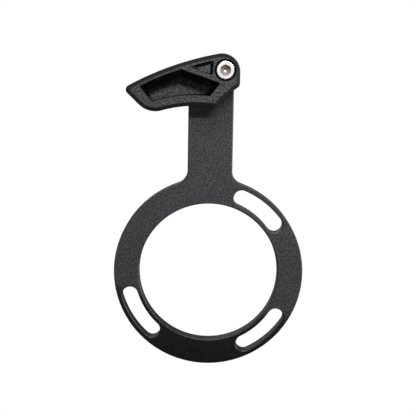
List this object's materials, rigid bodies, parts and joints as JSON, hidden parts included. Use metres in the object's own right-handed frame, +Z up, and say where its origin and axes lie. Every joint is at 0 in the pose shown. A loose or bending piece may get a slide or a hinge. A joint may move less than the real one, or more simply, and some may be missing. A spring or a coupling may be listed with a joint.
{
  "type": "bicycle chain guide",
  "caption": "Slotted ring plate with an upright arm that carries a bolted two-part cage, which keeps the chain on top of a single chainring.",
  "frame": {"origin": "bottom bracket axis at the plate's back face, which lies on the frame's tabs", "axes": "+X to the front of the bicycle, +Y inboard along the bottom bracket axis, +Z up along the arm, so the cage faces -Y"},
  "size_m": [0.0844, 0.0217, 0.1383],
  "materials": {
    "anodised_plate": "blasted and black anodised",
    "moulded_nylon": "fine moulded texture",
    "bright_steel": "bright"
  },
  "bodies": {
    "root": {"backplate": "anodised_plate", "inner_guide": "moulded_nylon", "outer_guide": "moulded_nylon", "clamp_screw": "bright_steel"}
  },
  "joints": []
}
